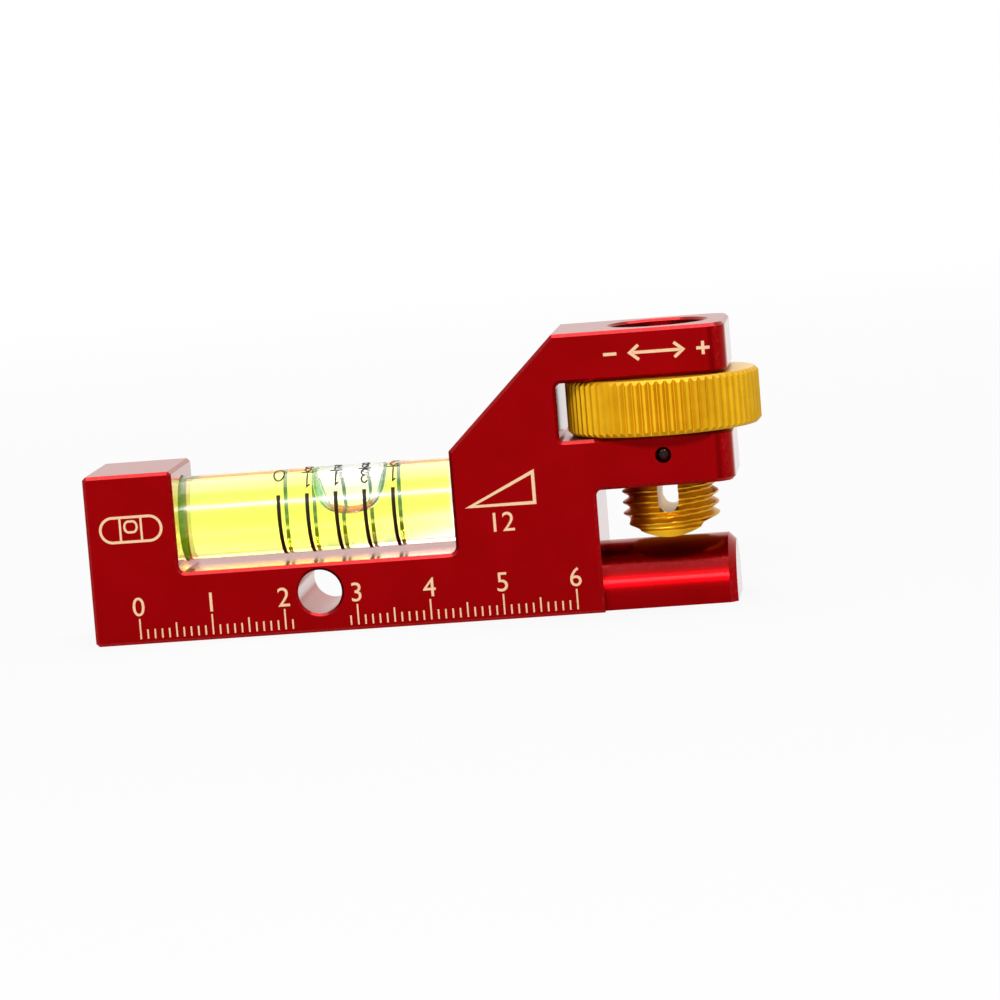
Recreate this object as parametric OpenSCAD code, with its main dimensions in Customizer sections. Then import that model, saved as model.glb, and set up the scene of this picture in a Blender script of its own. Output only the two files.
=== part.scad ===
// Slope level with a clamp at its right end: a machined body with a vial window, a knurled
// thumbwheel in a slot, and a clamp screw that the wheel drives straight up and down.
// The left end of the body is x = 0 inside the modules; place() centres the assembly.
// +X runs along the level, +Z is up and -Y faces the reader.

/* [Body] */
// Length from the left end to the tips of the arms
body_l = 88.9; // [86:0.1:94]
// Thickness, front to back
body_t = 19.05; // [18:0.05:24]
// Height at the upper arm
body_h = 38.2; // [37:0.1:42]
// Width of the left post
post_w = 12.3; // [10:0.1:16]
// Height of the left post and of the foot of the slope
post_h = 23.4; // [22.8:0.1:25]
// Length of the vial window
window_l = 38.1; // [36:0.1:39]
// Height of the window's floor
floor_z = 9.5; // [9:0.1:9.9]
// Left end of the upper arm, at the top of the slope
slope_top_x = 65.5; // [62:0.1:68]
// Right face of the block, at the back of the clamp throat
throat_x = 70.0; // [69:0.1:71]
// Underside of the lower arm
throat_z = 16.7; // [16:0.1:17.5]
// Left end of the wheel slot
slot_x = 65.6; // [65:0.1:66]
// Floor of the wheel slot
slot_z = 23.65; // [23.2:0.05:23.8]
// Height of the wheel slot
slot_h = 7.85; // [7.7:0.05:8.4]
// Bevel on the outer edges
bevel = 0.45; // [0.2:0.05:0.6]
// Radius in the corners of the window
window_r = 1.0; // [0.8:0.1:2]
// Radius in the corners of the wheel slot and of the throat
slot_r = 0.7; // [0.6:0.1:1.5]
// Radius on the upright corners at the arm tips
arm_r = 3.2; // [1.5:0.1:4]
// Diameter of the lanyard hole
lanyard_d = 6.0; // [5:0.1:6.4]
// Height of the lanyard hole
lanyard_z = 5.55; // [5:0.05:5.6]
// Bevel on the rims of the bores
rim_bevel = 0.35; // [0.2:0.05:0.5]

/* [Jaw] */
// Radius of the half-round jaw under the clamp screw
jaw_r = 7.5; // [6:0.1:7.6]
// Height of the jaw's crown
jaw_top = 8.8; // [8:0.1:8.9]
// Length of the jaw
jaw_l = 18.0; // [14:0.1:18.5]
// Bevel on the jaw's tip
jaw_bevel = 1.0; // [0.5:0.1:2]

/* [Clamp] */
// Outer diameter of the clamp screw's thread
screw_d = 13.2; // [12:0.1:13.4]
// Length of the clamp screw, from its skirts to its top
screw_l = 21.8; // [20:0.1:22]
// Height of the skirts, with the screw as it is drawn
screw_z = 9.4; // [9.3:0.1:10]
// Radius of the saddle under the screw
saddle_r = 10.8; // [10.6:0.1:14]
// Width of the key slot through the screw
key_w = 2.8; // [2.5:0.1:3]
// Lower end of the key slot
key_z = 12.75; // [12.5:0.05:13]
// Length of the key slot
key_l = 12.2; // [12:0.1:12.6]
// Diameter of the guide pin
pin_d = 2.2; // [1.8:0.1:2.3]
// Height of the guide pin
pin_z = 20.9; // [20.8:0.1:21]
// Depth of the pin's ends below the faces
pin_recess = 0.6; // [0.3:0.1:1]
// Outer diameter of the thumbwheel
wheel_d = 26.5; // [25:0.1:26.6]
// Thickness of the thumbwheel
wheel_h = 7.55; // [7:0.05:7.6]
// Gap under the thumbwheel
wheel_gap = 0.15; // [0.1:0.05:0.2]
// Number of teeth in the knurl
teeth = 70; // [60:2:80]
// Depth of the knurl
knurl_depth = 0.45; // [0.2:0.05:0.5]
// Bevel on the rim of the thumbwheel
wheel_bevel = 0.55; // [0.3:0.05:0.8]
// Radial running clearance between sliding round pieces
run_gap = 0.05; // [0.02:0.01:0.1]

/* [Vial] */
// Outer diameter of the vial
vial_d = 11.6; // [11:0.1:11.8]
// Height of the vial's axis
vial_z = 15.95; // [15.9:0.05:16]
// Left end of the vial
vial_x = 0.6; // [0.4:0.1:1]
// Depth of the vial's seat in the block
seat_l = 5.0; // [3:0.1:8]
// Thickness of the adhesive round the vial's ends
bond_t = 0.15; // [0.1:0.05:0.2]
// Depth of the adhesive inside the mouths of the seats
bond_inset = 0.3; // [0.2:0.1:1]
// Depth to which the liquid chamber runs into the left post
chamber_in = 6.3; // [4:0.1:8]
// Length of the liquid chamber
chamber_l = 43.4; // [41:0.1:44]
// Radius of the chamber at its widest, under the middle of the window
chamber_r = 4.7; // [4.6:0.1:4.8]
// Bubble travel for one step of the scale
ring_step = 3.95; // [3.8:0.01:4.1]
// Slope of one step of the scale, in inches per foot
step_slope = 0.125; // [0.125:0.125:0.25]
// Slope that the bubble shows, in inches per foot
reading = 0.14; // [0:0.01:0.2]
// Radius of the end plug
plug_r = 4.6; // [4.4:0.1:4.7]
// Length of the end plug
plug_l = 4.6; // [3:0.1:5]
// Length of the bubble
bubble_l = 10.3; // [9:0.1:10.6]
// Depth of the bubble
bubble_h = 5.0; // [3:0.1:5.2]
// Radius of the bubble's roof, which clears the barrel over the whole travel
bubble_r = 4.4; // [4:0.05:4.4]
// Width of a scale ring
ring_w = 0.52; // [0.3:0.01:0.6]
// Thickness of a scale ring
ring_t = 0.06; // [0.04:0.01:0.1]

/* [Hidden] */
$fn = 64;

RED = "#a3040c";
GOLD = "#d9a01c";
// How far a cutting tool runs past the solid, and by how little where it must stay close
over = 1;
skim = 0.01;
seat_x = post_w + window_l;
axis_x = (throat_x + body_l) / 2;
centre_x = (axis_x + wheel_d / 2) / 2;
window_mid = post_w + window_l / 2;
wheel_z = slot_z + wheel_gap;
end_gap = 0.2;
vial_end = seat_x + seat_l - end_gap;
chamber_x = post_w - chamber_in;
plug_x = chamber_x - plug_l;
// The barrel's radius of curvature turns one step of slope into one step of bubble travel
barrel_r = ring_step / (step_slope / 12);
// With the level flat, the bubble stands mid-window with its left end on ring 0
rings = [for (i = [0:4]) window_mid - bubble_l / 2 + i * ring_step];
bubble_x = window_mid + reading / step_slope * ring_step;
bubble_roof_r = 80;
liquid_gap = 0.02;
// A ring starts above the front of the vial and runs under and behind it, clear of the numerals
ring_start = 28;
ring_turn = 285;

// Corners of the outline, as x, z and the way each is finished, with the solid on the left
CUT = 0;
SHARP = 1;
WINDOW = 2;
SLOT = 3;
corners = [
    [0, 0, CUT], [throat_x, 0, SHARP], [throat_x, throat_z, SLOT],
    [body_l, throat_z, CUT], [body_l, slot_z, CUT],
    [slot_x, slot_z, SLOT], [slot_x, slot_z + slot_h, SLOT],
    [body_l, slot_z + slot_h, CUT], [body_l, body_h, CUT],
    [slope_top_x, body_h, SHARP], [seat_x, post_h, SHARP],
    [seat_x, floor_z, WINDOW], [post_w, floor_z, WINDOW],
    [post_w, post_h, CUT], [0, post_h, CUT]];
last = len(corners) - 1;

function at(i) = let (c = corners[(i + last + 1) % (last + 1)]) [c[0], c[1]];
function unit(v) = v / norm(v);
function way_in(i) = unit(at(i) - at(i - 1));
function way_out(i) = unit(at(i + 1) - at(i));
function kind(i) = corners[(i + last + 1) % (last + 1)][2];
function radius(i) = kind(i) == WINDOW ? window_r : slot_r;
function is_inner(i) = kind(i) == WINDOW || kind(i) == SLOT;
function is_cut(i) = kind(i) == CUT;
function fillet_mid(i) = at(i) + radius(i) * (way_out(i) - way_in(i));
// Where the straight edges start and end at a corner
function edge_end(i) = is_cut(i) ? at(i) - bevel * way_in(i) : at(i);
function edge_start(i) = is_cut(i) ? at(i) + bevel * way_out(i) : at(i);
outline = [for (i = [0:last]) each is_cut(i) ? [edge_end(i), edge_start(i)] : [at(i)]];
function edge_grow(i) = is_inner(i) ? -radius(i) : bevel + over;

module place() {
    translate([-centre_x, 0, 0]) children();
}

module along_x(x, z) {
    translate([x, 0, z]) rotate([0, 90, 0]) children();
}

module along_y(x, z) {
    translate([x, 0, z]) rotate([-90, 0, 0]) children();
}

// Triangular bar along an edge, which bevels it on the front and back faces
module edge_bar(a, b, grow_a, grow_b) {
    run = b - a;
    for (side = [0, 1])
        mirror([0, side, 0])
            translate([a[0], -body_t / 2, a[1]])
                rotate([0, -atan2(run[1], run[0]), 0])
                    translate([-grow_a, 0, 0])
                        rotate([90, 0, 90])
                            linear_extrude(norm(run) + grow_a + grow_b)
                                polygon([[-over, bevel + over], [bevel + over, -over], [-over, -over]]);
}

// Cone that carries the bevel round a filleted inner corner
module corner_cone(i) {
    deep = bevel + radius(i) / 2;
    for (side = [0, 1])
        mirror([0, side, 0])
            along_y(fillet_mid(i)[0], fillet_mid(i)[1])
                translate([0, 0, -body_t / 2 - over])
                    cylinder(h = over + deep, r1 = radius(i) + bevel + over, r2 = radius(i) + bevel - deep);
}

module outline_bevels() {
    for (i = [0:last]) {
        edge_bar(edge_start(i), edge_end(i + 1), edge_grow(i), edge_grow(i + 1));
        if (is_cut(i)) edge_bar(edge_end(i), edge_start(i), bevel + over, bevel + over);
        if (is_inner(i)) corner_cone(i);
    }
}

// Web that rounds an inner corner of the outline
module inner_fillet(i) {
    p = at(i);
    a = way_in(i) * over;
    b = way_out(i) * over;
    r = radius(i);
    difference() {
        polygon([p + a - b, p - way_in(i) * r - b, fillet_mid(i), p + way_out(i) * r + a]);
        translate(fillet_mid(i)) circle(r);
    }
}

module block() {
    rotate([90, 0, 0])
        linear_extrude(body_t, center = true) {
            polygon(outline);
            for (i = [0:last]) if (is_inner(i)) inner_fillet(i);
        }
}

// Corner cutter that leaves an upright round with its own bevels at the tip of an arm
module arm_corner(z0, z1) {
    x = body_l - arm_r;
    y = body_t / 2 - arm_r;
    for (side = [0, 1])
        mirror([0, side, 0])
            translate([x, y, 0])
                difference() {
                    translate([0, 0, z0 - skim]) cube([arm_r + over, arm_r + over, z1 - z0 + 2 * skim]);
                    rotate_extrude()
                        polygon([[0, z0 - over], [arm_r - bevel - over, z0 - over], [arm_r, z0 + bevel],
                            [arm_r, z1 - bevel], [arm_r - bevel - over, z1 + over], [0, z1 + over]]);
                }
}

module jaw() {
    mid = jaw_top - jaw_r;
    intersection() {
        along_x(throat_x - over, mid) {
            cylinder(h = jaw_l + over - jaw_bevel, r = jaw_r);
            translate([0, 0, jaw_l + over - jaw_bevel])
                cylinder(h = jaw_bevel, r1 = jaw_r, r2 = jaw_r - jaw_bevel);
        }
        translate([throat_x - 2 * over, -jaw_r - over, 0])
            cube([jaw_l + 3 * over, 2 * (jaw_r + over), jaw_top + over]);
    }
}

// Straight hole across the body, with both rims bevelled
module cross_hole(x, z, d, rim) {
    along_y(x, z) cylinder(h = body_t + 2 * over, d = d, center = true);
    for (side = [0, 1])
        mirror([0, side, 0])
            along_y(x, z)
                translate([0, 0, -body_t / 2 - over])
                    cylinder(h = 2 * over, r1 = d / 2 + rim + over, r2 = d / 2 + rim - over);
}

module screw_bores() {
    bore = screw_d + 2 * run_gap;
    translate([axis_x, 0, throat_z - over]) cylinder(h = body_h - throat_z + 2 * over, d = bore);
    translate([axis_x, 0, body_h - rim_bevel])
        cylinder(h = rim_bevel + over, r1 = bore / 2, r2 = bore / 2 + rim_bevel + over);
}

module vial_seats() {
    r = vial_d / 2 + bond_t;
    along_x(-over, vial_z) cylinder(h = post_w + 2 * over, r = r);
    along_x(seat_x - over, vial_z) cylinder(h = seat_l + over, r = r);
}

module body() {
    color(RED)
        place()
            difference() {
                union() {
                    block();
                    jaw();
                }
                outline_bevels();
                arm_corner(throat_z, slot_z);
                arm_corner(slot_z + slot_h, body_h);
                cross_hole(window_mid, lanyard_z, lanyard_d, rim_bevel);
                along_y(axis_x, pin_z) cylinder(h = body_t + 2 * over, d = pin_d, center = true);
                screw_bores();
                vial_seats();
            }
}

// Outline of the straight knurl: flat crests with V grooves between them
module knurl() {
    r = wheel_d / 2;
    pitch = 360 / teeth;
    half_crest = 0.14 * pitch;
    half_root = 0.05 * pitch;
    function ray(rad, angle) = rad * [cos(angle), sin(angle)];
    polygon([for (i = [0:teeth - 1]) let (crest = i * pitch, root = crest + pitch / 2) each [
        ray(r, crest - half_crest), ray(r, crest + half_crest),
        ray(r - knurl_depth, root - half_root), ray(r - knurl_depth, root + half_root)]]);
}

module thumbwheel() {
    r = wheel_d / 2;
    color(GOLD)
        place()
            translate([axis_x, 0, wheel_z])
                difference() {
                    intersection() {
                        linear_extrude(wheel_h) knurl();
                        rotate_extrude()
                            polygon([[0, -over], [r - wheel_bevel - over, -over], [r + over, wheel_bevel + over],
                                [r + over, wheel_h - wheel_bevel - over],
                                [r - wheel_bevel - over, wheel_h + over], [0, wheel_h + over]]);
                    }
                    translate([0, 0, -over]) cylinder(h = wheel_h + 2 * over, d = screw_d + 2 * run_gap);
                }
}

module key_slot() {
    r = key_w / 2;
    low = key_z + r;
    high = key_z + key_l - r;
    for (z = [low, high])
        along_y(0, z) cylinder(h = screw_d + 2 * over, r = r, center = true);
    translate([-r, -screw_d / 2 - over, low]) cube([key_w, screw_d + 2 * over, high - low]);
}

module clamp_screw() {
    r = screw_d / 2;
    // The saddle's crown is above the skirts by the rise of its arc over the screw's radius
    crown = screw_z + saddle_r - sqrt(saddle_r * saddle_r - r * r);
    color(GOLD)
        place()
            translate([axis_x, 0, 0])
                difference() {
                    translate([0, 0, screw_z]) {
                        cylinder(h = screw_l - bevel, r = r);
                        translate([0, 0, screw_l - bevel]) cylinder(h = bevel, r1 = r, r2 = r - bevel);
                    }
                    along_x(-r - over, crown - saddle_r) cylinder(h = screw_d + 2 * over, r = saddle_r);
                    key_slot();
                }
}

module guide_pin() {
    dome = 0.5;
    shank = body_t / 2 - pin_recess - dome;
    steps = 6;
    crown = [for (i = [0:steps]) let (a = 90 * i / steps) [pin_d / 2 * cos(a), shank + dome * sin(a)]];
    foot = [for (i = [0:steps]) [crown[steps - i][0], -crown[steps - i][1]]];
    color("#3a3a3c")
        place()
            along_y(axis_x, pin_z)
                rotate_extrude() polygon(concat(foot, crown));
}

// Solid of revolution along X, widest at x and thinning by an arc of radius curve towards its ends
module barrel(x, r, curve, left, right) {
    steps = 24;
    side = [for (i = [0:steps]) let (s = left + (right - left) * i / steps) [r - s * s / (2 * curve), s]];
    along_x(x, vial_z) rotate_extrude() polygon(concat([[0, left]], side, [[0, right]]));
}

// Liquid chamber, drawn back by a gap
module chamber(gap) {
    left = chamber_x - window_mid;
    barrel(window_mid, chamber_r - gap, barrel_r, left + gap, left + chamber_l - gap);
}

// Air bubble: round in plan, with a bowl-shaped underside, grown by a gap
module bubble_shape(gap) {
    steps = 12;
    r = bubble_l / 2 + gap;
    h = bubble_h + gap;
    bowl = [for (i = [0:steps]) let (a = 90 * i / steps) [r * pow(sin(a), 0.7), -h * pow(cos(a), 0.5)]];
    intersection() {
        barrel(bubble_x, bubble_r + gap, bubble_roof_r, -bubble_l, bubble_l);
        translate([bubble_x, 0, vial_z + bubble_r])
            rotate_extrude() polygon(concat(bowl, [[r, over], [0, over]]));
    }
}

module vial_tube() {
    color("#e8f4f0", 0.35)
        place()
            difference() {
                along_x(vial_x, vial_z) cylinder(h = vial_end - vial_x, d = vial_d);
                chamber(0);
                along_x(vial_x - over, vial_z) cylinder(h = chamber_x - vial_x + over, r = plug_r);
            }
}

module vial_plug() {
    color("#2e3326")
        place()
            along_x(plug_x, vial_z) cylinder(h = plug_l - liquid_gap, r = plug_r - liquid_gap);
}

module vial_fluid() {
    color("#e6f02a", 0.7)
        place()
            difference() {
                chamber(liquid_gap);
                bubble_shape(liquid_gap);
            }
}

module vial_bubble() {
    color("#ffffff", 0.5) place() bubble_shape(0);
}

module scale_ring(i) {
    color("#15130f")
        place()
            along_x(rings[i] - ring_w / 2, vial_z)
                rotate([0, 0, 270 - ring_start])
                    rotate_extrude(angle = ring_turn)
                        translate([vial_d / 2, 0]) square([ring_t, ring_w]);
}

module vial_bond(x0, x1) {
    color("#22261a")
        place()
            along_x(x0, vial_z)
                rotate_extrude() translate([vial_d / 2, 0]) square([bond_t, x1 - x0]);
}

module vial_bond_left() {
    vial_bond(2 * vial_x, post_w - bond_inset);
}

module vial_bond_right() {
    vial_bond(seat_x + bond_inset, vial_end);
}

body();
thumbwheel();
clamp_screw();
guide_pin();
vial_tube();
vial_plug();
vial_fluid();
vial_bubble();
scale_ring(0);  // scale_ring_0
scale_ring(1);  // scale_ring_1
scale_ring(2);  // scale_ring_2
scale_ring(3);  // scale_ring_3
scale_ring(4);  // scale_ring_4
vial_bond_left();
vial_bond_right();
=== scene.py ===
"""Looks of the slope level: anodised body, knurled wheel, threaded clamp screw and filled vial."""

import math

import bmesh
import bpy
from mathutils import Matrix, Vector


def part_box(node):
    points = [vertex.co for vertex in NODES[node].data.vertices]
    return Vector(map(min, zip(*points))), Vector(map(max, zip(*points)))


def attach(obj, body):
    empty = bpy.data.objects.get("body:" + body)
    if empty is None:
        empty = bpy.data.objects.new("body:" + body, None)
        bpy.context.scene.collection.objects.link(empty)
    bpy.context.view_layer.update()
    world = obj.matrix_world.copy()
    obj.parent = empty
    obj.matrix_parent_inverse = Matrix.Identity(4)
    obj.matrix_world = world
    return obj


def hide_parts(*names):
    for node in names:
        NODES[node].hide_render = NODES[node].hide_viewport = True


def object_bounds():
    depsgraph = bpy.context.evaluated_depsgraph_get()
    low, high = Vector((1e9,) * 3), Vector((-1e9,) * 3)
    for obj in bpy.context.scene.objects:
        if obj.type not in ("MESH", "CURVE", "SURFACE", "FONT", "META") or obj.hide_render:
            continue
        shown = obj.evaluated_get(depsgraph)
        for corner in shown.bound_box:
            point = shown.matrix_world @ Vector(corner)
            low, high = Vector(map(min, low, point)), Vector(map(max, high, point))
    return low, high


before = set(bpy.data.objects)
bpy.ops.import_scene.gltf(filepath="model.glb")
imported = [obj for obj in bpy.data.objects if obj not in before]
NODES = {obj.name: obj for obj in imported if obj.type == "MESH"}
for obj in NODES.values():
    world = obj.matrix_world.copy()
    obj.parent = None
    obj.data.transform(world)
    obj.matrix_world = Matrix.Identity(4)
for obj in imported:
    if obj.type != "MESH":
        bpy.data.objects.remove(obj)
CAD_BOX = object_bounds()
MM = 0.001

# Places that the frame gives, in metres
BODY_LOW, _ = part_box("body")
TUBE_LOW, TUBE_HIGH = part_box("vial_tube")
FLUID_LOW, FLUID_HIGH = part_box("vial_fluid")
BUBBLE_LOW, BUBBLE_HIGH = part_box("vial_bubble")
SCREW_LOW, SCREW_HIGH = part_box("clamp_screw")
RINGS = [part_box(f"scale_ring_{i}") for i in range(5)]
FRONT = BODY_LOW.y
VIAL_R = (TUBE_HIGH.z - TUBE_LOW.z) / 2
VIAL_Z = TUBE_LOW.z + VIAL_R
SCREW_AXIS = (SCREW_LOW + SCREW_HIGH) / 2

# Camera, fitted to the edges of the body, with an image 1000 pixels wide
FOCAL_PIXELS = 5294
IMAGE_PIXELS = 1000
SENSOR = 36
CAMERA_PLACE = Vector((77.55, -719.4, 90.2)) * MM
CAMERA_RIGHT = Vector((0.99315, 0.08541, -0.07976))
CAMERA_UP = Vector((0.07019, 0.10976, 0.99148))

WHITE = (1, 1, 1, 1)


class Wire:
    """A node socket in a sum: each operator adds the Math node that works it out."""

    def __init__(self, graph, socket):
        self.graph = graph
        self.socket = socket

    def maths(self, operation, *others):
        return self.graph.add("ShaderNodeMath", {"operation": operation}, (self, *others))

    def __add__(self, other):
        return self.maths("ADD", other)

    def __sub__(self, other):
        return self.maths("SUBTRACT", other)

    def __mul__(self, other):
        return self.maths("MULTIPLY", other)

    def __truediv__(self, other):
        return self.maths("DIVIDE", other)

    def __rsub__(self, other):
        return self.graph.add("ShaderNodeMath", {"operation": "SUBTRACT"}, (other, self))

    def __rtruediv__(self, other):
        return self.graph.add("ShaderNodeMath", {"operation": "DIVIDE"}, (other, self))

    __radd__ = __add__
    __rmul__ = __mul__

    def fall(self, start, end, low=0.0, high=1.0):
        """Runs from low at start to high at end, and stays level outside."""
        return self.graph.add("ShaderNodeMapRange", values={0: self, 1: start, 2: end, 3: low, 4: high})


class Graph:
    """A node tree under construction."""

    def __init__(self, tree):
        self.tree = tree
        tree.nodes.clear()

    def add(self, kind, settings=None, values=(), out=0):
        """A node of any kind, with its settings set first, then its sockets, by name or number."""
        node = self.tree.nodes.new(kind)
        for name, value in (settings or {}).items():
            setattr(node, name, value)
        pairs = values.items() if isinstance(values, dict) else enumerate(values)
        for key, value in pairs:
            for one in value if isinstance(value, list) else [value]:
                if isinstance(one, Wire):
                    self.tree.links.new(one.socket, node.inputs[key])
                else:
                    node.inputs[key].default_value = one
        return Wire(self, node.outputs[out]) if node.outputs else node

    def mix(self, factor, first, second):
        return self.add("ShaderNodeMix", {"data_type": "RGBA"}, {0: factor, 6: first, 7: second}, out=2)

    def split(self, vector):
        node = self.add("ShaderNodeSeparateXYZ", values=(vector,)).socket.node
        return [Wire(self, socket) for socket in node.outputs]


class Finish(Graph):
    """A material's node tree, with its patterns in millimetres of the part's own frame."""

    def __init__(self, name):
        self.material = bpy.data.materials.new(name)
        self.material.use_nodes = True
        super().__init__(self.material.node_tree)
        where = self.add("ShaderNodeTexCoord", out=3)
        self.place = self.scaled(where, (1 / MM, 1 / MM, 1 / MM))
        self.facing = Wire(self, where.socket.node.outputs["Normal"])

    def scaled(self, vector, factors):
        return self.add("ShaderNodeMapping", values={"Vector": vector, "Scale": factors})

    def noise(self, size, detail=2.0, stretch=(1, 1, 1)):
        """Noise whose lumps are about size millimetres across."""
        vector = self.place if stretch == (1, 1, 1) else self.scaled(self.place, stretch)
        return self.add("ShaderNodeTexNoise", values={
            "Vector": vector, "Scale": 1 / size, "Detail": detail})

    def bump(self, height, depth):
        """Relief of height times depth millimetres."""
        return self.add("ShaderNodeBump", values={
            "Strength": 1.0, "Distance": depth * MM, "Height": height})

    def output(self, surface, volume=None):
        values = {"Surface": surface}
        if volume:
            values["Volume"] = volume
        self.add("ShaderNodeOutputMaterial", values=values)
        return self.material

    def principled(self, **values):
        named = {name.replace("_", " "): value for name, value in values.items()}
        return self.add("ShaderNodeBsdfPrincipled", values=named)

    def clear_to_lamps(self, surface):
        """Lets the lamps shine through a clear piece."""
        path = self.add("ShaderNodeLightPath", out=1)
        passing = self.add("ShaderNodeBsdfTransparent")
        return self.add("ShaderNodeMixShader", values=(path, surface, passing))


def red_anodised():
    """Deep red, matt on the front and back and bright elsewhere, with a glossier seal on what faces up
    or sideways. The bevels carry a painted highlight: they are paler and pinker, in patches."""
    finish = Finish("red_anodised")
    grain = finish.noise(0.09, 3)
    cloud = finish.noise(6.0, 4)
    highlight_patches = finish.noise(0.5, 4)
    sideways, outward, upward = finish.split(finish.facing)
    side_face = sideways.maths("ABSOLUTE").fall(0.93, 0.99)
    sealed = upward.fall(0.3, 0.6, 0.02, 0.35).maths("MAXIMUM", side_face)
    flat = outward.maths("ABSOLUTE")
    # Painted highlight: the 45-degree bevels get a paler, pinker colour, in patches
    edge = flat.fall(0.55, 0.62) * flat.fall(0.80, 0.90, 1.0, 0.0)
    deep = finish.mix(cloud.fall(0.35, 0.65), (0.295, 0.0006, 0.0016, 1), (0.325, 0.0008, 0.0024, 1))
    colour = finish.mix(edge * highlight_patches.fall(0.45, 0.7, 0.0, 0.35), deep, (0.50, 0.02, 0.02, 1))
    return finish.output(finish.principled(
        Base_Color=colour, Metallic=flat.fall(0.97, 0.995, 1.0, 0.1), Roughness=grain * 0.1 + 0.2,
        Specular_IOR_Level=0.0, Specular_Tint=(1.0, 0.82, 0.75, 1),
        Coat_Weight=sealed, Coat_Roughness=0.1, Normal=finish.bump(grain, 0.003)))


def gold_anodised():
    """Gold of the wheel, with fine marks along the knurl and a glossier seal on its top."""
    finish = Finish("gold_anodised")
    _, _, upward = finish.split(finish.facing)
    brushed = finish.noise(0.10, 3, stretch=(1, 1, 0.08))
    cloud = finish.noise(3.0, 3)
    colour = finish.mix(cloud.fall(0.35, 0.65), (0.645, 0.364, 0.0066, 1), (0.705, 0.409, 0.0102, 1))
    return finish.output(finish.principled(
        Base_Color=colour, Metallic=1.0, Roughness=brushed * 0.14 + 0.54,
        Coat_Weight=upward.fall(0.6, 0.95, 0.06, 0.8), Coat_Roughness=0.25,
        Normal=finish.bump(brushed, 0.005)))


def gold_thread():
    """Gold of the screw, with fine marks round the thread."""
    finish = Finish("gold_thread")
    turned_marks = finish.noise(0.12, 3, stretch=(0.15, 0.15, 1))
    cloud = finish.noise(2.5, 3)
    colour = finish.mix(cloud.fall(0.35, 0.65), (0.60, 0.30, 0.008, 1), (0.68, 0.37, 0.014, 1))
    return finish.output(finish.principled(
        Base_Color=colour, Metallic=1.0, Roughness=turned_marks * 0.14 + 0.28, Coat_Weight=0.1,
        Coat_Roughness=0.15, Normal=finish.bump(turned_marks, 0.004)))


def black_steel():
    finish = Finish("black_steel")
    grain = finish.noise(0.15, 3)
    colour = finish.mix(grain.fall(0.3, 0.7), (0.014, 0.006, 0.004, 1), (0.030, 0.013, 0.009, 1))
    return finish.output(finish.principled(
        Base_Color=colour, Metallic=1.0, Roughness=grain * 0.2 + 0.1, Coat_Weight=0.1, Coat_Roughness=0.05,
        Normal=finish.bump(grain, 0.003)))


def clear_acrylic():
    """Clear rod with soft reflections and faint scuffs along it."""
    finish = Finish("clear_acrylic")
    scuff = finish.noise(0.6, 4, stretch=(0.15, 1, 1))
    glass = finish.principled(
        Base_Color=(0.995, 0.998, 0.995, 1), Roughness=scuff.fall(0.55, 0.8, 0.0, 0.03), IOR=1.49,
        Transmission_Weight=1.0, Specular_Tint=(0.15, 0.15, 0.15, 1), Coat_Weight=1.0, Coat_IOR=1.6,
        Coat_Roughness=0.22)
    return finish.output(finish.clear_to_lamps(glass))


def level_liquid():
    """Dyed liquid: it takes blue light from what is seen through it, and glows a little green."""
    finish = Finish("level_liquid")
    swirl = finish.noise(9.0, 2)
    colour = finish.mix(swirl.fall(0.3, 0.7), (0.995, 1, 0.96, 1), (1, 1, 0.98, 1))
    glass = finish.principled(Base_Color=colour, Roughness=0.0, IOR=1.0, Transmission_Weight=1.0)
    dye = finish.add("ShaderNodeVolumeAbsorption", values={
        "Color": (0.998, 0.999, 0.10, 1), "Density": 270})
    shine = finish.add("ShaderNodeEmission", values={"Color": (0.27, 1.0, 0.03, 1), "Strength": 24.0})
    volume = finish.add("ShaderNodeAddShader", values=(dye, shine))
    return finish.output(finish.clear_to_lamps(glass), volume)


def air_bubble():
    """Clear air. The liquid's volume runs through it, so its walls give back the blue that this takes,
    more where the bubble is deep, and its underside is tinted with a painted reflection of the red floor."""
    finish = Finish("air_bubble")
    film = finish.noise(4.0, 2)
    _, _, upward = finish.split(finish.facing)
    _, _, height = finish.split(finish.place)
    above = height - VIAL_Z / MM
    # Painted reflection: the flat underside near the bottom turns orange-red, for the red floor seen in it
    under = upward.maths("ABSOLUTE").fall(0.80, 0.95) * (above + film * 0.1).fall(0.8, 1.6, 1.0, 0.0)
    deep, shallow, painted_floor_reflection = [
        finish.add("ShaderNodeBsdfGlass", values={"Color": colour, "Roughness": 0.0, "IOR": 0.70})
        for colour in ((1.0, 1.0, 2.3, 1), (1.0, 1.0, 1.15, 1), (1.1, 0.42, 0.01, 1))]
    wall = finish.add("ShaderNodeMixShader", values=(above.fall(2.6, 4.2), deep, shallow))
    skin = finish.add("ShaderNodeMixShader", values=(under, wall, painted_floor_reflection))
    return finish.output(finish.clear_to_lamps(skin))


def printed_ink():
    finish = Finish("printed_ink")
    speck = finish.noise(0.12, 3)
    colour = finish.mix(speck.fall(0.3, 0.7), (0.018, 0.008, 0.002, 1), (0.034, 0.016, 0.005, 1))
    return finish.output(finish.principled(
        Base_Color=colour, Roughness=speck * 0.2 + 0.4, Specular_IOR_Level=0.08, Coat_Weight=0.1,
        Coat_Roughness=0.3))


def dark_plug():
    finish = Finish("dark_plug")
    speck = finish.noise(0.4, 3)
    colour = finish.mix(speck.fall(0.3, 0.7), (0.02, 0.03, 0.012, 1), (0.04, 0.05, 0.02, 1))
    return finish.output(finish.principled(Base_Color=colour, Roughness=speck * 0.2 + 0.3))


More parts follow.
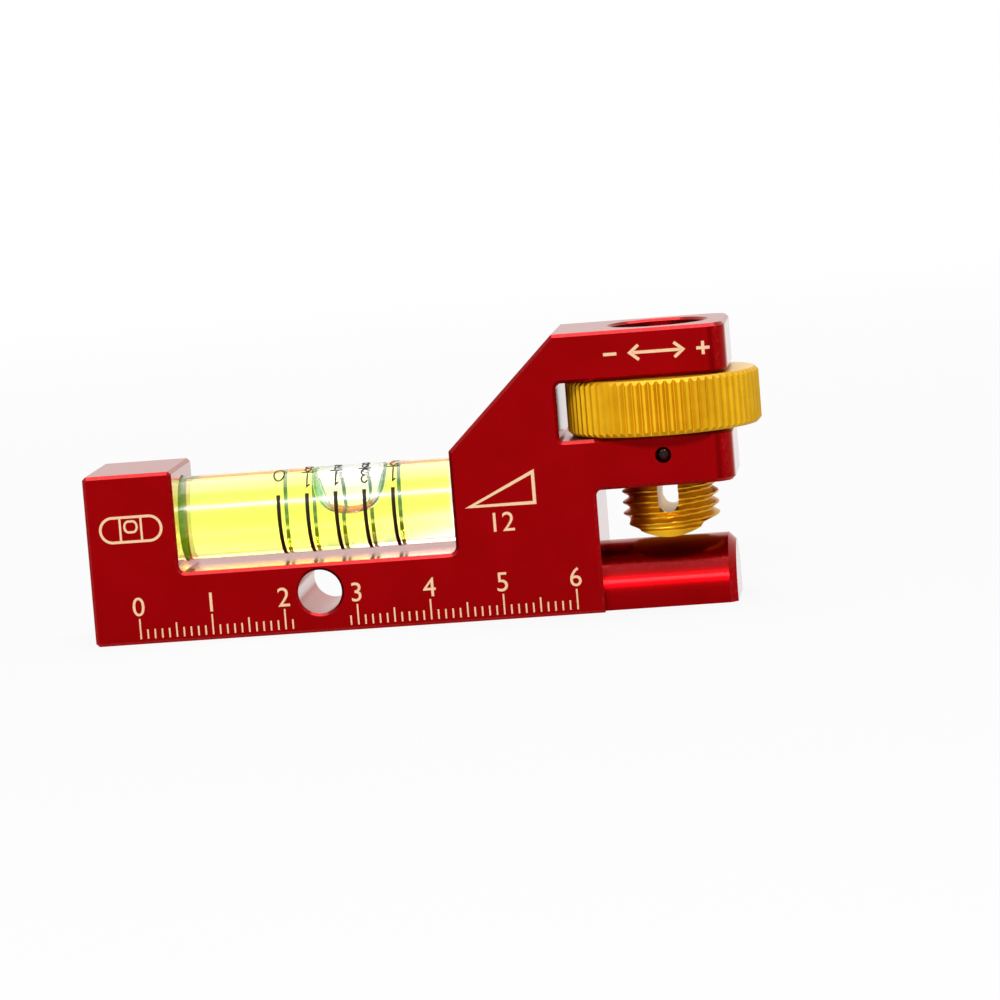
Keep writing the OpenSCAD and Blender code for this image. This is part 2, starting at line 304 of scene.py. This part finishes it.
def cured_adhesive():
    finish = Finish("cured_adhesive")
    lump = finish.noise(0.8, 4)
    # Dark olive: the adhesive's own colour, made darker as painted shade for the bore that the vial runs
    # into
    colour = finish.mix(lump.fall(0.3, 0.7), (0.045, 0.045, 0.012, 1), (0.085, 0.08, 0.025, 1))
    return finish.output(finish.principled(
        Base_Color=colour, Roughness=lump * 0.3 + 0.35, Normal=finish.bump(lump, 0.05)))


def etched_mark():
    finish = Finish("etched_mark")
    grain = finish.noise(0.12, 3)
    colour = finish.mix(grain.fall(0.3, 0.7), (0.86, 0.53, 0.30, 1), (0.95, 0.66, 0.40, 1))
    return finish.output(finish.principled(
        Base_Color=colour, Roughness=grain * 0.2 + 0.55, Normal=finish.bump(grain, 0.01)))


def add_object(name, mesh):
    obj = bpy.data.objects.new(name, mesh)
    bpy.context.scene.collection.objects.link(obj)
    return obj


def smooth_by_angle(mesh, degrees):
    """Smooth faces, with hard edges where the surface turns by more than an angle."""
    work = bmesh.new()
    work.from_mesh(mesh)
    limit = math.radians(degrees)
    for face in work.faces:
        face.smooth = True
    for edge in work.edges:
        edge.smooth = len(edge.link_faces) == 2 and edge.calc_face_angle() < limit
    work.to_mesh(mesh)
    work.free()


def turned(name, profile, segments, material):
    """A solid of revolution about the vial's axis, from points of x and radius, closed at both ends."""
    work = bmesh.new()
    loops = []
    for x, radius in profile:
        if radius == 0:
            loops.append([work.verts.new((x, 0, VIAL_Z))])
            continue
        turns = [2 * math.pi * i / segments for i in range(segments)]
        loops.append([work.verts.new((x, radius * math.cos(turn), VIAL_Z + radius * math.sin(turn)))
                      for turn in turns])
    for one, two in zip(loops, loops[1:]):
        for i in range(segments):
            j = (i + 1) % segments
            ends = [one[i % len(one)], one[j % len(one)], two[j % len(two)], two[i % len(two)]]
            work.faces.new(list(dict.fromkeys(ends)))
    bmesh.ops.recalc_face_normals(work, faces=work.faces)
    mesh = bpy.data.meshes.new(name)
    work.to_mesh(mesh)
    work.free()
    smooth_by_angle(mesh, 40)
    mesh.materials.append(material)
    return add_object(name, mesh)


# Vial
TUBE_EDGE = 0.3 * MM
CHAMBER_R = (FLUID_HIGH.z - FLUID_LOW.z) / 2
# Radius of curvature of the chamber's barrel, by which the bubble moves 3.95 mm for 1/8 inch in a foot
BARREL_R = 379.2 * MM
WINDOW_MID = -15.0 * MM
FLUID_EDGE = 0.25 * MM
# Share by which the floor of the chamber rises at its closed end, and where it starts to rise
RISE = 0.32
RISE_START = -12 * MM
# Shares by which the chamber's sides close in below the axis, up to that place and at the closed end, and
# the depth at which they have closed in fully, as a share of the chamber's radius
CLOSE_LEAST, CLOSE_MOST = 0.25, 0.62
CLOSE_DEPTH = 0.35
BARREL_STEPS = 24
VIAL_SEGMENTS = 160


def vial_tube(material):
    left, right = TUBE_LOW.x, TUBE_HIGH.x
    profile = [(left, 0), (left, VIAL_R - TUBE_EDGE), (left + TUBE_EDGE, VIAL_R),
               (right - TUBE_EDGE, VIAL_R), (right, VIAL_R - TUBE_EDGE), (right, 0)]
    tube = turned("vial_tube_clear", profile, VIAL_SEGMENTS, material)
    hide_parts("vial_tube")
    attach(tube, "level")


def barrel_radius(x):
    return CHAMBER_R - (x - WINDOW_MID) ** 2 / (2 * BARREL_R)


def vial_fluid(material):
    left, right = FLUID_LOW.x, FLUID_HIGH.x
    inner_left, inner_right = left + FLUID_EDGE, right - FLUID_EDGE
    run = [inner_left + (inner_right - inner_left) * i / BARREL_STEPS for i in range(BARREL_STEPS + 1)]
    side = [(x, barrel_radius(x)) for x in run]
    profile = [(left, 0), (left, side[0][1] - FLUID_EDGE), *side,
               (right, side[-1][1] - FLUID_EDGE), (right, 0)]
    fluid = turned("vial_fluid_clear", profile, VIAL_SEGMENTS, material)
    for vert in fluid.data.vertices:
        along = max(0, vert.co.x - RISE_START) / (right - RISE_START)
        below = max(0, VIAL_Z - vert.co.z)
        close = CLOSE_LEAST + (CLOSE_MOST - CLOSE_LEAST) * along
        vert.co.y *= 1 - close * min(1, below / CHAMBER_R / CLOSE_DEPTH) ** 2
        vert.co.z += below * RISE * along
    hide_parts("vial_fluid")
    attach(fluid, "level")


# Bubble
BUBBLE_ROOF_CURVE = 80 * MM
DISH_CURVE_LONG = 9.7 * MM
DISH_CURVE_CROSS = 60 * MM
DISH_BLEND = 2.2 * MM
ROOF_BLEND = 0.4 * MM
# Length of the bubble as a share of the width that its ends would close at
END_SQUARE = 0.68
BUBBLE_SEGMENTS = 96
BUBBLE_RINGS = 64
# Depth of the point that the bubble's skin is sought from, as a share of its depth
BUBBLE_HEART = 0.35
HALVINGS = 30
SMOOTHINGS = 3


def blended_least(one, two, blend):
    """The smaller of two depths, with the corner between them rounded over about a blend."""
    near = max(blend - abs(one - two), 0) / blend
    return min(one, two) - near * near * blend / 4


def air_depth(x, y, z):
    """Above zero inside the bubble: under the barrel's roof, over a shallow dish, inside a round wall."""
    half = (BUBBLE_HIGH.x - BUBBLE_LOW.x) / 2
    roof_r = BUBBLE_HIGH.z - VIAL_Z
    deep = BUBBLE_HIGH.z - BUBBLE_LOW.z
    under_roof = roof_r - x * x / (2 * BUBBLE_ROOF_CURVE) - math.hypot(y, z + roof_r)
    over_dish = z + deep - x * x / (2 * DISH_CURVE_LONG) - y * y / (2 * DISH_CURVE_CROSS)
    in_wall = half - math.hypot(x, y * END_SQUARE)
    low = blended_least(over_dish, in_wall, DISH_BLEND)
    return blended_least(low, under_roof, ROOF_BLEND)


def vial_bubble(material):
    mid = Vector(((BUBBLE_LOW.x + BUBBLE_HIGH.x) / 2, 0, BUBBLE_HIGH.z))
    deep = BUBBLE_HIGH.z - BUBBLE_LOW.z
    heart = Vector((0, 0, -BUBBLE_HEART * deep))
    work = bmesh.new()
    bmesh.ops.create_uvsphere(work, u_segments=BUBBLE_SEGMENTS, v_segments=BUBBLE_RINGS, radius=1)
    for vert in work.verts:
        way = vert.co.normalized()
        near, far = 0.0, BUBBLE_HIGH.x - BUBBLE_LOW.x
        for _ in range(HALVINGS):
            middle = (near + far) / 2
            inside = air_depth(*(heart + way * middle)) > 0
            near, far = (middle, far) if inside else (near, middle)
        vert.co = mid + heart + way * near
    for _ in range(SMOOTHINGS):
        bmesh.ops.smooth_vert(
            work, verts=work.verts, factor=0.5, use_axis_x=True, use_axis_y=True, use_axis_z=True)
    bmesh.ops.recalc_face_normals(work, faces=work.faces)
    mesh = bpy.data.meshes.new("vial_bubble_air")
    work.to_mesh(mesh)
    work.free()
    smooth_by_angle(mesh, 60)
    mesh.materials.append(material)
    bubble = add_object("vial_bubble_air", mesh)
    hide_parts("vial_bubble")
    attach(bubble, "bubble")


def grow(name, build, sizes, material):
    """Runs a Geometry Nodes tree and keeps what it makes as a plain mesh."""
    tree = bpy.data.node_groups.new(name, "GeometryNodeTree")
    kinds = {int: "NodeSocketInt", float: "NodeSocketFloat"}
    for label, value in sizes.items():
        tree.interface.new_socket(label, in_out="INPUT", socket_type=kinds[type(value)])
    tree.interface.new_socket("Material", in_out="INPUT", socket_type="NodeSocketMaterial")
    tree.interface.new_socket("Geometry", in_out="OUTPUT", socket_type="NodeSocketGeometry")
    graph = Graph(tree)
    given = graph.add("NodeGroupInput").socket.node
    inputs = {socket.name: Wire(graph, socket) for socket in given.outputs if socket.name}
    shape = build(graph, inputs)
    shape = graph.add("GeometryNodeRealizeInstances", values=(shape,))
    shape = graph.add("GeometryNodeSetMaterial", values={"Geometry": shape, "Material": inputs["Material"]})
    graph.add("NodeGroupOutput", values=(shape,))
    holder = add_object(name, bpy.data.meshes.new(name))
    modifier = holder.modifiers.new(name, "NODES")
    modifier.node_group = tree
    for socket in tree.interface.items_tree:
        if socket.in_out == "INPUT":
            modifier[socket.identifier] = material if socket.name == "Material" else sizes[socket.name]
    settled = holder.evaluated_get(bpy.context.evaluated_depsgraph_get())
    mesh = bpy.data.meshes.new_from_object(settled)
    holder.modifiers.clear()
    holder.data = mesh
    return holder


# Clamp screw
THREAD = {
    "Radius": SCREW_HIGH.x - SCREW_AXIS.x, "Length": SCREW_HIGH.z - SCREW_LOW.z,
    "Depth": 0.85 * MM, "Pitch": 1.5 * MM, "Start": 0.75 * MM, "Plain": 0.9 * MM, "Bevel": 0.6 * MM,
    "Segments": 97, "Rows": 240,
    "Saddle Radius": 10.8 * MM, "Saddle Rise": 2.25 * MM,
    "Key Width": 2.8 * MM, "Key Low": 3.35 * MM, "Key Length": 12.2 * MM}
# Shares of half a pitch at which a flank of the thread leaves the crest and meets the root
THREAD_FLANK = (0.14, 0.84)
DRUM_SIDES = 96


def thread_tree(graph, size):
    """A helical thread on a cylinder, with a saddle under it and a key slot through it."""
    grid = graph.add("GeometryNodeMeshGrid", values={
        "Size X": 1.0, "Size Y": 1.0, "Vertices X": size["Segments"], "Vertices Y": size["Rows"]})
    u, v, _ = graph.split(graph.add("GeometryNodeInputPosition"))
    turn = u + 0.5
    row = 1 / (size["Rows"] - 1)
    height = (v + 0.5).fall(row, 1 - row) * size["Length"]
    phase = ((height + size["Start"]) / size["Pitch"] - turn).maths("FRACT")
    groove = (1 - (phase * 2 - 1).maths("ABSOLUTE")).fall(*THREAD_FLANK)
    full = height.fall(size["Plain"], size["Plain"] * 2)
    threaded = size["Radius"] - size["Depth"] * groove * full
    tapered = size["Radius"] - size["Bevel"] + (size["Length"] - height)
    whole = (v.maths("ABSOLUTE") - 0.5 + row * 0.5).maths("LESS_THAN", 0.0)
    radius = threaded.maths("MINIMUM", tapered) * whole
    angle = turn * (2 * math.pi)
    spot = graph.add("ShaderNodeCombineXYZ", values=(
        radius * angle.maths("COSINE"), radius * angle.maths("SINE"), height))
    rod = graph.add("GeometryNodeSetPosition", values={"Geometry": grid, "Position": spot})
    rod = graph.add("GeometryNodeMergeByDistance", values={"Geometry": rod, "Distance": 1e-6})

    def cutter(shape, shift, tilt=(0, 0, 0)):
        return graph.add("GeometryNodeTransform", values={
            "Geometry": shape, "Translation": shift, "Rotation": tilt})

    def at_height(z):
        return graph.add("ShaderNodeCombineXYZ", values=(0.0, 0.0, z))

    def drum(radius, depth):
        return graph.add("GeometryNodeMeshCylinder", values={
            "Vertices": DRUM_SIDES, "Radius": radius, "Depth": depth})

    through = size["Radius"] * 3
    half = size["Key Width"] / 2
    low = size["Key Low"] + half
    high = size["Key Low"] + size["Key Length"] - half
    saddle_z = size["Saddle Rise"] - size["Saddle Radius"]
    saddle = cutter(drum(size["Saddle Radius"], through), at_height(saddle_z), (0, math.pi / 2, 0))
    ends = [cutter(drum(half, through), at_height(z), (math.pi / 2, 0, 0)) for z in (low, high)]
    slab = graph.add("GeometryNodeMeshCube", values={
        "Size": graph.add("ShaderNodeCombineXYZ", values=(size["Key Width"], through, high - low))})
    slab = cutter(slab, at_height((low + high) / 2))
    return graph.add("GeometryNodeMeshBoolean", {"operation": "DIFFERENCE", "solver": "MANIFOLD"},
                     {"Mesh 1": rod, "Mesh 2": [saddle, *ends, slab]})


def clamp_screw(material):
    screw = grow("clamp_screw_thread", thread_tree, THREAD, material)
    screw.data.transform(Matrix.Translation((SCREW_AXIS.x, SCREW_AXIS.y, SCREW_LOW.z)))
    smooth_by_angle(screw.data, 32)
    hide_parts("clamp_screw")
    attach(screw, "screw")


# Printed and etched marks
MARK_RISE = 0.02 * MM
MARK_SINK = 0.02 * MM
TEXT_HEIGHT = 2.6


def flat_text(text, height):
    """A closed solid of text, 1 mm deep, centred on its middle, as a bmesh."""
    curve = bpy.data.curves.new("text", "FONT")
    curve.body = text
    curve.extrude = 0.5
    curve.resolution_u = 4
    holder = add_object("text", curve)
    mesh = bpy.data.meshes.new_from_object(holder.evaluated_get(bpy.context.evaluated_depsgraph_get()))
    bpy.data.objects.remove(holder)
    work = bmesh.new()
    work.from_mesh(mesh)
    bpy.data.meshes.remove(mesh)
    bmesh.ops.remove_doubles(work, verts=work.verts, dist=1e-5)
    low = [min(vert.co[i] for vert in work.verts) for i in range(2)]
    high = [max(vert.co[i] for vert in work.verts) for i in range(2)]
    scale = height / (high[1] - low[1])
    for vert in work.verts:
        vert.co.x = (vert.co.x - (low[0] + high[0]) / 2) * scale
        vert.co.y = (vert.co.y - (low[1] + high[1]) / 2) * scale
        vert.co.z *= MM
    return work


def line(points, width, closed=False):
    """A line of even width through points in millimetres, mitred at its corners, as a bmesh."""
    spots = [Vector(point) * MM for point in points]
    count = len(spots)
    sides = []
    for i, spot in enumerate(spots):
        before = spots[i - 1] if i > 0 or closed else spot * 2 - spots[1]
        after = spots[(i + 1) % count] if i < count - 1 or closed else spot * 2 - spots[i - 1]
        way_in = (spot - before).normalized()
        way_out = (after - spot).normalized()
        across = Vector((-way_in.y - way_out.y, way_in.x + way_out.x)).normalized()
        reach = width * MM / 2 / max(0.3, across.dot(Vector((-way_in.y, way_in.x))))
        sides.append((spot + across * reach, spot - across * reach))
    work = bmesh.new()
    rings = []
    for left, right in sides:
        rings.append([work.verts.new((*side, depth * MM)) for side, depth in
                      ((left, -0.5), (right, -0.5), (right, 0.5), (left, 0.5))])
    pairs = list(zip(rings, rings[1:])) + ([(rings[-1], rings[0])] if closed else [])
    for one, two in pairs:
        for i in range(4):
            work.faces.new((one[i], one[(i + 1) % 4], two[(i + 1) % 4], two[i]))
    if not closed:
        work.faces.new(rings[0])
        work.faces.new(rings[-1])
    return work


def oval(width, height, ends=0.0, steps=32):
    """Points of an oval, or of a bar with round ends where ends is the straight length."""
    points = []
    for i in range(steps):
        turn = 2 * math.pi * (i + 0.5) / steps
        x = math.cos(turn)
        points.append((x * width / 2 + math.copysign(ends / 2, x), math.sin(turn) * height / 2))
    return points


def bend(middle, reach, start, end, steps=10):
    """Points of an arc of an oval, between two angles in degrees."""
    turns = [math.radians(start + (end - start) * i / steps) for i in range(steps + 1)]
    return [(middle[0] + reach[0] * math.cos(turn), middle[1] + reach[1] * math.sin(turn))
            for turn in turns]


def joined(name, pieces, material):
    """One object from several bmeshes."""
    whole = bmesh.new()
    for piece in pieces:
        mesh = bpy.data.meshes.new(name)
        piece.to_mesh(mesh)
        piece.free()
        whole.from_mesh(mesh)
        bpy.data.meshes.remove(mesh)
    bmesh.ops.recalc_face_normals(whole, faces=whole.faces)
    mesh = bpy.data.meshes.new(name)
    whole.to_mesh(mesh)
    whole.free()
    mesh.materials.append(material)
    return add_object(name, mesh)


# Scale on the vial
INK_R = VIAL_R + 0.03 * MM
INK_DEPTH = 0.04 * MM
INK_SLICE = 0.25 * MM
# Height, width and stroke of a numeral, in millimetres
NUMERAL = (2.6, 0.95, 0.2)
FRACTIONS = ("18", "14", "38", "12")
# Places of the numerals and of the bars between them, in degrees above the front of the vial
ZERO_ANGLE = 65.5
OVER_ANGLE = 51.3
BAR_ANGLE = 66.5
UNDER_ANGLE = 82.0
BAR_HALF = 0.85


def wrapped(work, x, angle):
    """Bends a flat mark round the vial, at an angle above its front, to be read from behind."""
    reach = max(abs(vert.co.y) for vert in work.verts)
    for i in range(1, math.ceil(2 * reach / INK_SLICE)):
        bmesh.ops.bisect_plane(work, geom=[*work.verts, *work.edges, *work.faces],
                               plane_co=(0, i * INK_SLICE - reach, 0), plane_no=(0, 1, 0))
    for vert in work.verts:
        turn = math.radians(angle) - vert.co.y / INK_R
        radius = INK_R + vert.co.z / MM * INK_DEPTH
        vert.co = Vector((x - vert.co.x, -radius * math.cos(turn), VIAL_Z + radius * math.sin(turn)))
    return work


# Strokes of the numerals, in a box from -0.5 to 0.5 each way, with whether each closes on itself
STROKES = {
    "0": [(bend((0, 0), (0.75, 0.55), 0, 345, 23), True)],
    "1": [([(-0.4, 0.36), (0, 0.5), (0, -0.5)], False)],
    "2": [(bend((0, 0.22), (0.5, 0.28), 170, -40) + [(-0.5, -0.5), (0.5, -0.5)], False)],
    "3": [(bend((-0.05, 0.25), (0.45, 0.25), 150, -90)
           + bend((-0.05, -0.25), (0.5, 0.25), 80, -150), False)],
    "4": [([(0.5, -0.2), (-0.5, -0.2), (0.25, 0.5), (0.25, -0.5)], False)],
    "8": [(bend((0, 0.26), (0.42, 0.24), -90, 255, 23), True),
          (bend((0, -0.25), (0.5, 0.25), 90, 435, 23), True)]}


def numeral(text, x, angle):
    """A numeral of thin strokes on the vial, at x and at an angle above its front."""
    tall, wide, stroke = NUMERAL
    marks = []
    for points, closed in STROKES[text]:
        spots = [(px * wide, py * tall) for px, py in points]
        marks.append(wrapped(line(spots, stroke, closed), x, angle))
    return marks


def vial_numerals(material):
    """The slopes over the rings: 0, then eighths of an inch."""
    middles = [(low.x + high.x) / 2 for low, high in RINGS]
    marks = numeral("0", middles[0], ZERO_ANGLE)
    for x, (over, under) in zip(middles[1:], FRACTIONS):
        marks += numeral(over, x, OVER_ANGLE) + numeral(under, x, UNDER_ANGLE)
        marks.append(wrapped(line([(-BAR_HALF, 0), (BAR_HALF, 0)], NUMERAL[2]), x, BAR_ANGLE))
    numerals = joined("vial_numerals", marks, material)
    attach(numerals, "level")


# Ruler along the base
RULER = {
    "Count": 61, "Pitch": 1.0 * MM, "Width": 0.22 * MM, "Deep": MARK_SINK + MARK_RISE,
    "Short": 1.3 * MM, "Middle": 2.0 * MM, "Long": 2.8 * MM,
    "Gap Middle": 25.0 * MM, "Gap Half": 3.8 * MM}
RULER_X = 6.35
RULER_Z = 0.75
RULER_NUMBER_Z = 5.2
RULER_NUMBERS = 7
NUMBER_STEP = 10


def ruler_tree(graph, size):
    """Ticks every millimetre, longer at the fives and tens, left out where the hole is."""
    rank = graph.add("GeometryNodeInputIndex")
    tens = (rank / 10).maths("FRACT").maths("LESS_THAN", 0.05)
    fives = (rank / 5).maths("FRACT").maths("LESS_THAN", 0.05)
    tall = size["Short"] + fives * (size["Middle"] - size["Short"]) + tens * (size["Long"] - size["Middle"])
    step = graph.add("ShaderNodeCombineXYZ", values=(size["Pitch"], 0.0, 0.0))
    spots = graph.add("GeometryNodeMeshLine", values={"Count": size["Count"], "Offset": step})
    along, _, _ = graph.split(graph.add("GeometryNodeInputPosition"))
    spots = graph.add("GeometryNodeSetPosition", values={
        "Geometry": spots, "Offset": graph.add("ShaderNodeCombineXYZ", values=(0.0, 0.0, tall / 2))})
    clear = (along - size["Gap Middle"]).maths("ABSOLUTE").maths("GREATER_THAN", size["Gap Half"])
    tick = graph.add("GeometryNodeMeshCube", values={"Size": (1, 1, 1)})
    measure = graph.add("ShaderNodeCombineXYZ", values=(size["Width"], size["Deep"], tall))
    return graph.add("GeometryNodeInstanceOnPoints", values={
        "Points": spots, "Selection": clear, "Instance": tick, "Scale": measure})


def front_ruler(material):
    ruler = grow("front_ruler", ruler_tree, RULER, material)
    ruler.data.transform(Matrix.Translation((BODY_LOW.x + RULER_X * MM, FRONT, RULER_Z * MM)))
    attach(ruler, "level")


# Signs on the front face, placed from the left end and the base, with line widths, in millimetres
POST_SIGN = (6.2, 15.9)
POST_LINE, POST_FINE = 0.36, 0.30
BLOCK_SIGN = (57.2, 17.6)
BLOCK_LINE = 0.45
BLOCK_NUMBER_DROP = 4.2
ARM_SIGN = (79.6, 35.0)
ARM_LINE = 0.42
ARM_SIDE = 6.3
ARM_TICK = 0.9


def on_front(work, x, z):
    """Sets a flat mark on the front face, x and z in millimetres from the left end and the base."""
    for vert in work.verts:
        depth = MARK_SINK + MARK_RISE
        y = FRONT + MARK_SINK - (vert.co.z / MM + 0.5) * depth
        vert.co = Vector((BODY_LOW.x + x * MM + vert.co.x, y, z * MM + vert.co.y))
    return work


def ruler_numbers():
    return [on_front(flat_text(str(i), TEXT_HEIGHT * MM), RULER_X + NUMBER_STEP * i, RULER_NUMBER_Z)
            for i in range(RULER_NUMBERS)]


def vial_sign():
    """A vial with its bubble between two lines."""
    x, z = POST_SIGN
    marks = [on_front(line(oval(3.4, 3.4, ends=5.0), POST_LINE, closed=True), x, z),
             on_front(line(oval(1.1, 1.5, ends=0.6), POST_FINE, closed=True), x, z + 0.35)]
    for side in (-1.45, 1.45):
        marks.append(on_front(line([(side, -1.5), (side, 1.5)], POST_FINE), x, z))
    return marks


def slope_sign():
    """A wedge over its run in inches."""
    x, z = BLOCK_SIGN
    wedge = [(-4.4, -1.9), (4.4, -1.9), (4.4, 2.3)]
    return [on_front(line(wedge, BLOCK_LINE, closed=True), x, z),
            on_front(flat_text("12", TEXT_HEIGHT * MM), x, z - BLOCK_NUMBER_DROP)]


def turn_sign():
    """A double arrow between minus and plus, over the wheel."""
    x, z = ARM_SIGN
    marks = [on_front(line([(-3.2, 0), (3.2, 0)], ARM_LINE), x, z)]
    for side in (-1, 1):
        head = [(side * 2.4, 1.0), (side * 3.6, 0), (side * 2.4, -1.0)]
        dash = [(side * ARM_SIDE - ARM_TICK, 0), (side * ARM_SIDE + ARM_TICK, 0)]
        upright = [(ARM_SIDE, side * ARM_LINE / 2), (ARM_SIDE, side * ARM_TICK)]
        marks += [on_front(line(points, ARM_LINE), x, z) for points in (head, dash, upright)]
    return marks


def front_marks(material):
    marks = ruler_numbers() + vial_sign() + slope_sign() + turn_sign()
    signs = joined("front_marks", marks, material)
    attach(signs, "level")


# Studio
FLOOR_HALF = 40.0
FLOOR_DROP = 0.02 * MM
WORLD_LEVEL = 0.15
# Softboxes: name, place and size in metres, and radiance
LAMPS = [
    ("front_softbox", (-0.05, -0.82, 0.52), (0.65, 0.12), 24.0),
    ("top_softbox", (0.05, 0.10, 0.85), (0.80, 0.80), 2.8)]
# Share of plain white in the floor near the part, and how far off it is all white, in millimetres
FLOOR_GLOW = 0.89
FLOOR_WHITE = (120, 700)
# How the floor brightens in gloss with the distance in front of the part, in millimetres and as levels
GLEAM_REACH = (60, 300)
GLEAM_LEVEL = (0.95, 1.36)
# A darker fan of floor in front, to the right, that shows only in gloss: where it starts, the slants
# between which it lies, over which it fades, and its level
FAN_START = (38, -9)
FAN_IN = (0.30, 0.70)
FAN_OUT = (1.2, 1.9)
FAN_LEVEL = 0.45


def seen_rays(graph):
    """Whether a ray shows the background: in gloss, and in the camera, in gloss or through clear pieces."""
    path = graph.add("ShaderNodeLightPath").socket.node
    camera, gloss, through = [Wire(graph, path.outputs[f"Is {kind} Ray"]) for kind in
                              ("Camera", "Glossy", "Transmission")]
    return gloss, camera.maths("MAXIMUM", gloss).maths("MAXIMUM", through)


def sky():
    """White where it is seen, and dim as a source of light."""
    world = bpy.data.worlds.new("studio")
    bpy.context.scene.world = world
    world.use_nodes = True
    graph = Graph(world.node_tree)
    _, seen = seen_rays(graph)
    light = graph.add("ShaderNodeBackground", values={
        "Color": WHITE, "Strength": seen * (1 - WORLD_LEVEL) + WORLD_LEVEL})
    graph.add("ShaderNodeOutputWorld", values={"Surface": light})


def pale_floor():
    """White, with the part's shadow on it."""
    finish = Finish("pale_floor")
    gloss, seen = seen_rays(finish)
    away = finish.add("ShaderNodeVectorMath", {"operation": "LENGTH"}, (finish.place,), out=1)
    across, behind, _ = finish.split(finish.place)
    slant = (across - FAN_START[0]) / (FAN_START[1] - behind)
    fan = slant.fall(*FAN_IN) * slant.fall(*FAN_OUT, 1.0, 0.0) * behind.maths("LESS_THAN", FAN_START[1])
    gleam = (0 - behind).fall(*GLEAM_REACH, *GLEAM_LEVEL) * (1 - fan * (1 - FAN_LEVEL))
    matt = finish.add("ShaderNodeBsdfDiffuse", values={"Color": (0.7, 0.7, 0.7, 1)})
    glow = finish.add("ShaderNodeEmission", values={"Color": WHITE, "Strength": 1 + gloss * (gleam - 1)})
    share = seen * away.fall(*FLOOR_WHITE, FLOOR_GLOW, 1.0)
    return finish.output(finish.add("ShaderNodeMixShader", values=(share, matt, glow)))


def floor(material):
    work = bmesh.new()
    bmesh.ops.create_grid(work, x_segments=1, y_segments=1, size=FLOOR_HALF)
    mesh = bpy.data.meshes.new("floor")
    work.to_mesh(mesh)
    work.free()
    mesh.transform(Matrix.Translation((0, 0, -FLOOR_DROP)))
    mesh.materials.append(material)
    add_object("floor", mesh)


def lamp(name, place, size, radiance):
    """A rectangular softbox aimed at the middle of the part."""
    light = bpy.data.lights.new(name, "AREA")
    light.shape = "RECTANGLE"
    light.size, light.size_y = size
    light.energy = radiance * math.pi * size[0] * size[1]
    obj = add_object(name, light)
    obj.location = place
    aim = (CAD_BOX[0] + CAD_BOX[1]) / 2 - Vector(place)
    obj.rotation_euler = aim.to_track_quat("-Z", "Y").to_euler()


def camera():
    eye = bpy.data.cameras.new("camera")
    eye.sensor_width = SENSOR
    eye.lens = FOCAL_PIXELS * SENSOR / IMAGE_PIXELS
    obj = add_object("camera", eye)
    back = CAMERA_RIGHT.cross(CAMERA_UP)
    turn = Matrix((CAMERA_RIGHT, CAMERA_UP, back)).transposed().to_4x4()
    obj.matrix_world = Matrix.Translation(CAMERA_PLACE) @ turn
    bpy.context.scene.camera = obj


def paint(node, material):
    """Gives a CAD node's object its finish."""
    mesh = NODES[node].data
    mesh.materials.clear()
    mesh.materials.append(material)


bpy.context.scene.view_settings.view_transform = "Standard"
red = red_anodised()
gold = gold_anodised()
ink = printed_ink()
etch = etched_mark()
glue_and_shade = cured_adhesive()
paint("body", red)
paint("thumbwheel", gold)
paint("guide_pin", black_steel())
paint("vial_plug", dark_plug())
paint("vial_bond_left", glue_and_shade)
paint("vial_bond_right", glue_and_shade)
for i in range(len(RINGS)):
    paint(f"scale_ring_{i}", ink)
vial_tube(clear_acrylic())
vial_fluid(level_liquid())
vial_bubble(air_bubble())
clamp_screw(gold_thread())
vial_numerals(ink)
front_ruler(etch)
front_marks(etch)
sky()
floor(pale_floor())
for details in LAMPS:
    lamp(*details)
camera()
